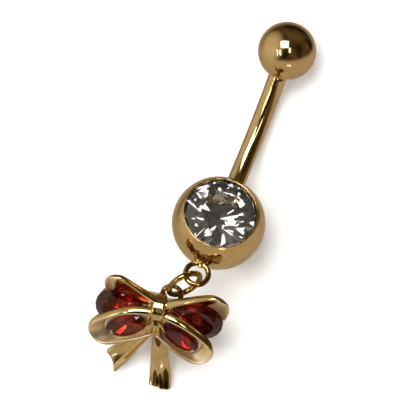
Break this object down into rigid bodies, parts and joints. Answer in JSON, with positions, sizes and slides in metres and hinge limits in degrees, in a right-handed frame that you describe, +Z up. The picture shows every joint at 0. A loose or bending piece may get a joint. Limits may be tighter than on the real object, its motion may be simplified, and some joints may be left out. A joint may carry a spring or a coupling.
{
  "type": "navel ring",
  "caption": "Gold navel ring: a curved bar with a clear round stone in its ball, a screw-on top ball and a ribbon bow charm with dark red stones.",
  "frame": {"origin": "point on the surface directly under the centre of the large ball that holds the clear stone", "axes": "+Y along the bar from the large ball to the screw ball, +Z up from the surface it lies on, +X to the right"},
  "size_m": [0.0114, 0.0339, 0.0079],
  "materials": {
    "gold": "polished",
    "clear_stone": "polished",
    "red_stone": "polished"
  },
  "bodies": {
    "bar": {"barbell": "gold", "crystal": "clear_stone", "jump_ring": "gold", "bow": "gold", "upper_stone_left": "red_stone", "upper_stone_right": "red_stone", "lower_stone_left": "red_stone", "lower_stone_right": "red_stone"},
    "screw_ball": {"screw_ball": "gold"}
  },
  "joints": [
    {"name": "unscrew", "type": "slide", "parent": "bar", "child": "screw_ball", "axis": [0, 0.9537, 0.3007], "range_m": [0, 0.003]}
  ]
}
